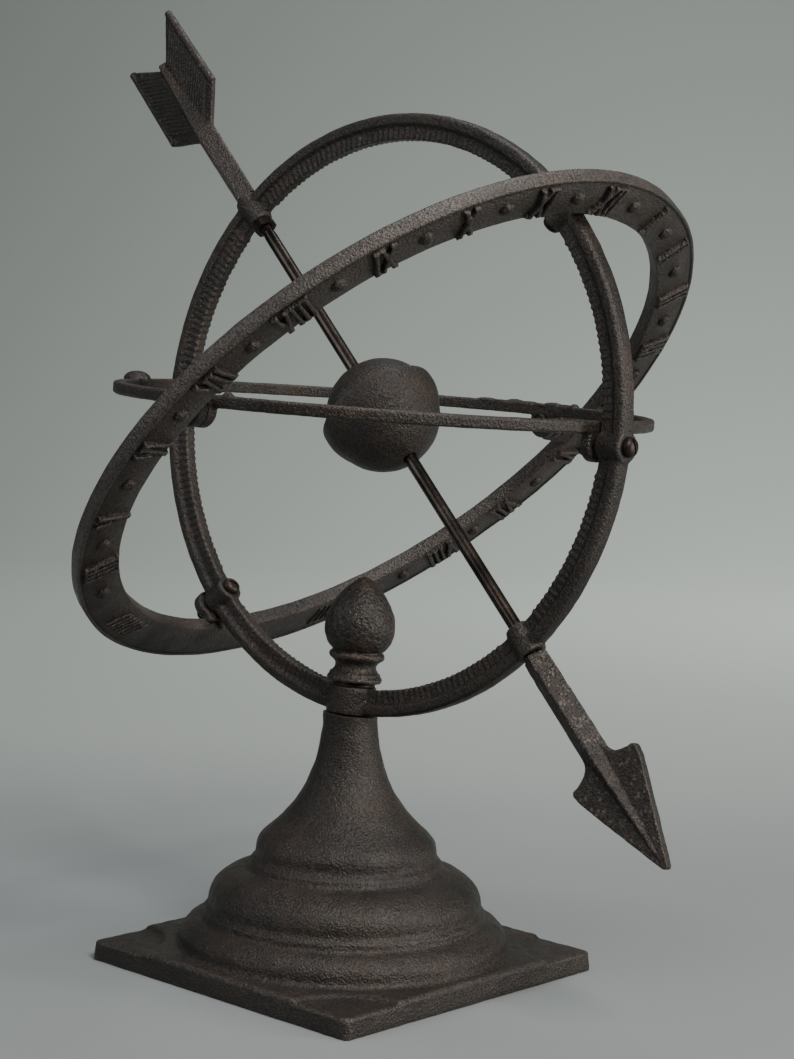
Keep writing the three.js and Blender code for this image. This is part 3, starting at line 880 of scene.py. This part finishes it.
def hourStrokes(word):      # strokes as ends in millimetres, along the word and up its height
    s = hourSettings
    half = s["tall"] / 2
    widths = {"I": s["letterStep"], "V": s["wideStep"], "X": s["wideStep"]}
    total = sum(widths[letter] for letter in word)
    reach = -total / 2
    strokes = []
    for letter in word:
        mid = reach + widths[letter] / 2
        arm = widths[letter] / 2 - 0.9
        if letter == "I":
            strokes.append(((mid, -half), (mid, half)))
        elif letter == "V":
            strokes += [((mid - arm, half), (mid, -half)), ((mid + arm, half), (mid, -half))]
        else:
            strokes += [((mid - arm, half), (mid + arm, -half)), ((mid + arm, half), (mid - arm, -half))]
        reach += widths[letter]
    return strokes


def makeHourRing():
    s = hourSettings
    half = s["thick"] / 2
    outer, inner = s["outer"], s["inner"]
    line = outer - s["lineIn"]
    section = [(inner, -half + 0.5), (inner + 0.5, -half), (outer - 0.9, -half), (outer, -half + 0.9),
               (outer, half - 0.5), (outer - 0.5, half + 0.15), (line + 0.35, half + 0.15),
               (line, half - 0.55), (line - 0.5, half - 0.1), (inner + 0.5, half - 0.1), (inner, half - 0.5)]
    plate = turned("hourPlate", section, 360, closed=True)
    castSurface(plate, 0.0002, 0.012)
    pieces = []
    top = (half - 0.1) * 0.001
    stroke = makeStroke()

    def faceSpot(angle, slide, rise):      # on the plate, from the middle of an hour
        out = Vector((math.cos(angle * degree), -math.sin(angle * degree), 0))
        along = Vector((-math.sin(angle * degree), -math.cos(angle * degree), 0))
        return out * (s["middle"] + rise) * 0.001 + along * slide * 0.001 + Vector((0, 0, top))

    def addStroke(angle, start, end, width, relief):
        a, b = faceSpot(angle, *start), faceSpot(angle, *end)
        way = b - a
        copy = copied(stroke)
        turn = math.atan2(way.y, way.x) - 90 * degree
        copy.matrix_world = (Matrix.Translation((a + b) / 2) @ Matrix.Rotation(turn, 4, "Z")
                             @ Matrix.Diagonal((width * 0.001, way.length, 2 * relief * 0.001, 1)))
        pieces.append(settle(copy))

    for word, places in hours.items():
        for angle in places:
            for start, end in hourStrokes(word):
                addStroke(angle, start, end, s["stroke"], s["relief"])
                for x, y in (start, end):
                    reach = s["serif"]
                    addStroke(angle, (x - reach, y), (x + reach, y), s["serifWidth"], s["relief"] * 0.85)
    marks = sorted(angle for places in hours.values() for angle in places)
    middles = [(a + b) / 2 for a, b in zip(marks, marks[1:])]
    for angle in [marks[0] - s["beadAfter"]] + middles + [marks[-1] + s["beadAfter"]]:
        spot = faceSpot(angle, 0, s["beadRadius"] - s["middle"])
        pieces.append(lowDome(spot, s["bead"] * 0.001, s["beadHeight"] * 0.001))
    for side in (-1, 1):      # the hatched marks that close the scale
        place = side * s["hatchAt"]
        for i in range(s["hatches"]):
            slide = (i - s["hatches"] // 2) * s["hatchStep"]
            addStroke(place, (slide - s["hatchLean"], -5.2), (slide + s["hatchLean"], 5.2), 1.5, 1.0)
    bpy.data.objects.remove(stroke)
    marksCast = joined("marks", pieces)
    castTogether(marksCast, s["fineGrain"], softness=2, unevenness=0.0003, lumps=0.003)
    pieces = []

    ahead = s["ahead"] * 0.001
    for side in (1, -1):      # lugs for the upright ring's screws
        out = Vector((side, 0, 0))
        low = Vector((0, 0, -ahead))
        lug = cylinderBetween(out * s["lugFrom"] + low, out * s["lugTo"] + low, s["lug"], edge=0.0008)
        pieces.append(lug)
        pieces.append(block(out * 0.1229 + low / 2, (0.0044, 0.0138, ahead), edge=0.0008))
    toPlate = hourPlace.inverted() @ dialPlace
    for place in crossings.values():      # brackets that reach in to the level ring's tabs
        out = Vector((0, place.y, 0))
        eye = Vector((place.x, 0, place.z))
        start = toPlate @ ((eye + out * s["bracketFrom"]) * 0.001)
        end = toPlate @ ((eye + out * s["bracketTo"]) * 0.001)
        pieces.append(cylinderBetween(start, end, s["bracket"], edge=0.0007))
        side = 1 if start.y > 0 else -1
        root = Vector((start.x, side * (inner + 4) * 0.001, 0))
        tipSpot = (start + end) / 2
        arm = root - tipSpot
        clearSelection()
        bpy.ops.mesh.primitive_cube_add(size=1, location=(root + tipSpot) / 2,
                                        rotation=(math.atan2(-arm.y, arm.z), 0, 0),
                                        scale=(s["armWide"], s["armDeep"], arm.length))
        pieces.append(modify(settle(bpy.context.object), "BEVEL", width=0.001, segments=2))
    lugs = castTogether(joined("lugs", pieces), s["grain"], softness=3, unevenness=0.0002)
    for place in crossings.values():      # room to turn the nuts
        out = Vector((0, place.y, 0))
        eye = Vector((place.x, 0, place.z))
        start = toPlate @ ((eye + out * 111.75) * 0.001)
        end = toPlate @ ((eye + out * 117.7) * 0.001)
        combine(lugs, cylinderBetween(start, end, s["nutRoom"]))
    whole = joined("hourRing", [plate, marksCast, lugs])
    putAt(whole, hourPlace)
    pick(whole)
    bpy.ops.object.shade_smooth()
    finished(whole, "sphere", "cast_iron", castIron, "hour_ring")


makeHourRing()


# Screws and nuts: one of each, then a copy for every place

fastenerSettings = {
    "head": 3.8,
    "shank": 2.0,
    "pitch": 0.7,
    "slot": (0.0056, 0.0008, 0.0020),
    "flats": 7.4,
    "nut": 3.2,
    "stubs": 0.8,         # how far a screw stands out of its nut
}


def makeScrew():      # under its head at z = 0, shank up, 10 mm long
    s = fastenerSettings
    dome = bezier((0, -2.9), (1.8, -2.9), (s["head"] - 0.3, -2.5), (s["head"], -0.9), 10)
    shank = [(s["head"], -0.2), (s["head"] - 0.2, 0), (s["shank"], 0)]
    threads = []
    for i in range(8):
        rise = 3.6 + i * s["pitch"]
        threads += [(s["shank"], rise), (s["shank"] - 0.35, rise + s["pitch"] / 2)]
    end = [(s["shank"], 9.4), (s["shank"] - 0.5, 10), (0, 10)]
    screw = turned("screw", dome + shank + threads + end, 40)
    clearSelection()
    bpy.ops.mesh.primitive_cube_add(size=1, location=(0, 0, -0.0029), scale=s["slot"])
    combine(screw, settle(bpy.context.object))
    smoothBelow(screw, 30)
    return screw


def makeNut(flats, height, hole):
    clearSelection()
    bpy.ops.mesh.primitive_cylinder_add(vertices=6, radius=flats / math.sqrt(3) * 0.001, depth=height * 0.001,
                                        location=(0, 0, height / 2 * 0.001))
    nut = settle(bpy.context.object)
    corner = flats / math.sqrt(3)
    chamfers = [(0, -0.01), (corner - 0.55, -0.01), (corner + 0.3, 0.5), (corner + 0.3, height - 0.5),
                (corner - 0.55, height + 0.01), (0, height + 0.01)]
    combine(nut, turned("chamfers", chamfers, 48), "INTERSECT")
    bore = turned("bore", [(0, -0.1), (hole + 0.4, -0.1), (hole, 0.35), (hole, height - 0.35),
                           (hole + 0.4, height + 0.1), (0, height + 0.1)], 32)
    combine(nut, bore)
    smoothBelow(nut, 25)
    return nut


def placeAlong(origin, way):
    turn = way.to_track_quat("Z", "Y").to_matrix().to_4x4()
    return Matrix.Translation(origin) @ turn


def dialPoint(x, y, z):
    return dialPlace @ (Vector((x, y, z)) * 0.001)


def makeFasteners():
    s = fastenerSettings
    screw = makeScrew()
    nut = makeNut(s["flats"], s["nut"], s["shank"] + 0.02)
    jobs = []      # name, where the head bears, which way, where the nut starts from there
    for name, way in (("hour_high", uphill), ("hour_low", -uphill)):
        jobs.append((name, centre + way * 0.1087, way, 16.7))
    for name, side, drop in (("horizon_front", 1, frontDrop), ("horizon_back", -1, 0)):
        jobs.append((name, dialPoint(120.7 * side, 0, drop), level * -side, 18.0))
    for name, place in crossings.items():
        out = across * place.y
        jobs.append((f"cross_{name}", dialPoint(place.x, 102.7 * place.y, place.z), out, 9.3))
    for i, (name, origin, way, nutFrom) in enumerate(jobs):
        place = placeAlong(origin, way) @ Matrix.Rotation(i * 37 * degree, 4, "Z")
        copy = copied(screw)
        copy.name = f"{name}_screwHead"
        longer = (nutFrom + s["nut"] + s["stubs"] - 10) * 0.001
        selectPoints(copy, lambda co: co.z > 0.003)
        bpy.ops.transform.translate(value=(0, 0, longer))
        objectMode()
        putAt(copy, place)
        finished(copy, "sphere", "fastener_steel", brownedSteel, f"{name}_screw")
        hexagon = copied(nut)
        hexagon.name = f"{name}_hexNut"
        putAt(hexagon, place @ Matrix.Translation((0, 0, nutFrom * 0.001)))
        finished(hexagon, "sphere", "fastener_steel", brownedSteel, f"{name}_nut")
    bpy.data.objects.remove(screw)
    bpy.data.objects.remove(nut)


makeFasteners()


# Rod, its nut and the globe

rodSettings = {
    "radius": 2.65,
    "reach": 137.0,           # half its length
    "pitch": 0.8,
    "nutAt": -107.5,
    "nutFlats": 8.6,
    "nutHeight": 3.4,
}
rodPlace = placeAlong(centre, toHead)


def makeRod():
    s = rodSettings
    end = s["reach"]
    threads = []
    for i in range(9):      # the thread that the thin nut runs on
        rise = s["nutAt"] - 1.5 + i * s["pitch"]
        threads += [(s["radius"], rise), (s["radius"] - 0.3, rise + s["pitch"] / 2)]
    profile = [(0, -end), (s["radius"] - 0.6, -end), (s["radius"], -end + 0.6)] + threads
    profile += [(s["radius"], s["nutAt"] + 8 + i * (end - 9 - s["nutAt"]) / 12) for i in range(13)]
    profile += [(s["radius"] - 0.6, end), (0, end)]
    rod = turned("rod", profile, 48)
    putAt(rod, rodPlace)
    smoothBelow(rod, 35)
    finished(rod, "arrow", "rod_steel", drawnSteel, "gnomon_rod")
    nut = makeNut(s["nutFlats"], s["nutHeight"], s["radius"] + 0.02)
    nut.name = "rodNut"
    putAt(nut, rodPlace @ Matrix.Translation((0, 0, s["nutAt"] * 0.001)))
    finished(nut, "arrow", "fastener_steel", brownedSteel, "rod_nut")


globeSettings = {
    "radius": 22.8,
    "bore": 2.95,
    "proud": 2.1,         # the belt's rise over the ball
    "step": -5.4,         # its sharp edge, along the rod
    "groove": 0.5,
    "fade": 8,            # and where it has run out
    "steps": 96,
}


def makeGlobe():
    s = globeSettings
    profile = []
    start = math.asin(s["bore"] / s["radius"])
    for i in range(s["steps"] + 1):
        turn = start + (math.pi - 2 * start) * i / s["steps"]
        height = -math.cos(turn) * s["radius"]
        if height < s["step"]:
            proud = -s["groove"] * max(0, 1 - (s["step"] - height) / 1.8)
        else:      # steep on the tail's side, and fading out towards the head
            rise = min(1, (height - s["step"]) / 0.9)
            fall = max(0, min(1, (s["fade"] - height) / (s["fade"] - s["step"])))
            proud = s["proud"] * rise * (fall * fall * (3 - 2 * fall)) ** 0.6
        radius = s["radius"] + proud
        profile.append((radius * math.sin(turn), height * radius / s["radius"]))
    globe = turned("globeCasting", profile, 120, closed=True)
    castSurface(globe, 0.0003, 0.009)
    putAt(globe, rodPlace)
    finished(globe, "globe", "cast_iron", castIron, "globe")


makeRod()
makeGlobe()


# Arrow: each end is a flat casting on a square bar that stands on its edge

arrowSettings = {
    "start": 121.6,
    "shank": 5.8,
    "headNeck": 166.0,
    "barb": 176.5,
    "tip": 218.3,
    "headHalf": 16.1,
    "headTwist": -7.2,
    "vaneRoot": 160.5,
    "vaneFront": 173.4,
    "vaneRear": 219.0,
    "notch": 202.5,
    "vaneHalf": 19.0,
    "vaneTwist": -8.7,
    "quills": 16,
    "quill": (0.00195, 0.00165),      # thick at the bar, thin at the rim
    "rim": 0.0017,
    "bar": 6.2,
    "headBarEnd": 2.4,
    "tailBarEnd": 3.4,
    "plateHalf": 1.9,
    "vaneThickHalf": 1.0,
    "grain": 0.00034,
}


def flatPiece(name, outline, half):      # outline in millimetres, filled and drawn out to both sides
    clearSelection()
    bpy.ops.mesh.primitive_plane_add(size=0.001)
    piece = bpy.context.object
    bpy.ops.object.mode_set(mode="EDIT")
    bpy.ops.mesh.select_mode(type="VERT")
    bpy.ops.mesh.select_all(action="SELECT")
    bpy.ops.mesh.merge(type="CENTER")
    line = inMetres(outline)
    bpy.ops.transform.translate(value=(*line[0], -half * 0.001))
    for before, after in zip(line, line[1:]):
        step = (after[0] - before[0], after[1] - before[1], 0)
        bpy.ops.mesh.extrude_region_move(TRANSFORM_OT_translate={"value": step})
    bpy.ops.mesh.select_all(action="SELECT")
    bpy.ops.mesh.edge_face_add()
    bpy.ops.mesh.extrude_region_move(TRANSFORM_OT_translate={"value": (0, 0, 2 * half * 0.001)})
    bpy.ops.mesh.select_all(action="SELECT")
    bpy.ops.mesh.normals_make_consistent(inside=False)
    objectMode()
    piece.name = name
    return piece


def mirrored(points):
    return [(-x, y) for x, y in reversed(points)]


def squareBar(start, end, startHalf, endHalf):      # along Y, standing on its edge
    clearSelection()
    bpy.ops.mesh.primitive_cone_add(vertices=4, radius1=startHalf * 0.001, radius2=endHalf * 0.001,
                                    depth=(end - start) * 0.001, rotation=(-90 * degree, 0, 0),
                                    location=(0, (start + end) / 2 * 0.001, 0))
    bar = settle(bpy.context.object)
    editAll(bar)
    bpy.ops.mesh.subdivide(number_cuts=2)
    objectMode()
    return modify(bar, "BEVEL", width=0.0007, segments=3, limit_method="ANGLE", angle_limit=30 * degree)


def arrowPlace(way, twist):
    turn = Matrix.Rotation(twist * degree, 4, way)
    side = (turn @ uphill).normalized()
    return axes(side, way, side.cross(way), centre)


def makeArrowHead():
    s = arrowSettings
    half = s["headHalf"]
    side = bezier((5.0, s["headNeck"]), (5.6, 171.2), (8.6, 171.9), (13.4, 173.3), 8)
    side += arc((half - 1.9, s["barb"] - 1.4), 1.9, -70, 5, 5)
    side += [(half - 0.6, s["barb"] + 2.5), (1.3, s["tip"] - 0.8), (0.6, s["tip"])]
    pieces = [flatPiece("arrowPlate", side + mirrored(side), s["plateHalf"])]
    pieces.append(squareBar(s["start"], s["headNeck"], s["shank"], s["bar"]))
    pieces.append(squareBar(s["headNeck"] - 0.5, s["tip"] - 3, s["bar"], s["headBarEnd"]))
    head = joined("arrowHeadCasting", pieces)
    castTogether(head, s["grain"], softness=3, unevenness=0.00022, lumps=0.005)
    putAt(head, arrowPlace(toHead, s["headTwist"]))
    finished(head, "arrow", "cast_iron", castIron, "arrow_head")


def makeArrowTail():
    s = arrowSettings
    half = s["vaneHalf"]
    sweep = (s["vaneFront"] - s["vaneRoot"]) / (half - 4.4)
    side = [(3.8, s["vaneRoot"])]
    side += bezier((6, s["vaneRoot"] + 1.2), (12, s["vaneFront"] - 6), (half - 2, s["vaneFront"] - 2.4),
                   (half + 0.6, s["vaneFront"] + 0.6), 6)
    side += [(half + 0.5, s["vaneFront"] + 3), (half - 0.3, s["vaneRear"] - 1.2), (half - 1.2, s["vaneRear"])]
    side += [(3.0, s["notch"] + 1.2), (1.6, s["notch"] - 0.4)]
    pieces = [flatPiece("vanes", side + mirrored(side), s["vaneThickHalf"])]
    pieces.append(squareBar(s["start"], s["vaneRoot"] + 2, s["shank"], s["bar"]))
    pieces.append(squareBar(s["vaneRoot"] + 1, s["notch"] + 1.5, s["bar"], s["tailBarEnd"]))
    first = s["vaneRoot"] + 6
    gap = (s["notch"] - 2 - first) / (s["quills"] - 1)
    for sideSign in (1, -1):
        front = Vector((sideSign * (half - 0.5), s["vaneFront"] + 1, 0))
        rear = Vector((sideSign * (half - 1.2), s["vaneRear"] - 1, 0))
        pieces.append(cylinderBetween(front * 0.001, rear * 0.001, s["rim"], 16))
        for i in range(s["quills"]):
            y = first + i * gap
            inner = Vector((sideSign * 3.0, y, 0))
            outer = Vector((sideSign * (half - 1.0), y + sweep * (half - 4.0), 0))
            thick, thin = s["quill"]
            pieces.append(cylinderBetween(inner * 0.001, outer * 0.001, thick, 6, thin))
    tail = joined("arrowTailCasting", pieces)
    castTogether(tail, s["grain"], softness=1, unevenness=0.0001, lumps=0.004)
    putAt(tail, arrowPlace(-toHead, s["vaneTwist"]))
    finished(tail, "arrow", "cast_iron", castIron, "arrow_tail")


makeArrowHead()
makeArrowTail()

# The stud, its washer and its nut are right as they are, under the neck
for node in ("pedestal_stud", "stud_washer", "stud_nut"):
    for holder in frame["nodes"][node].material_slots:
        holder.material = brownedSteel

print("all made")
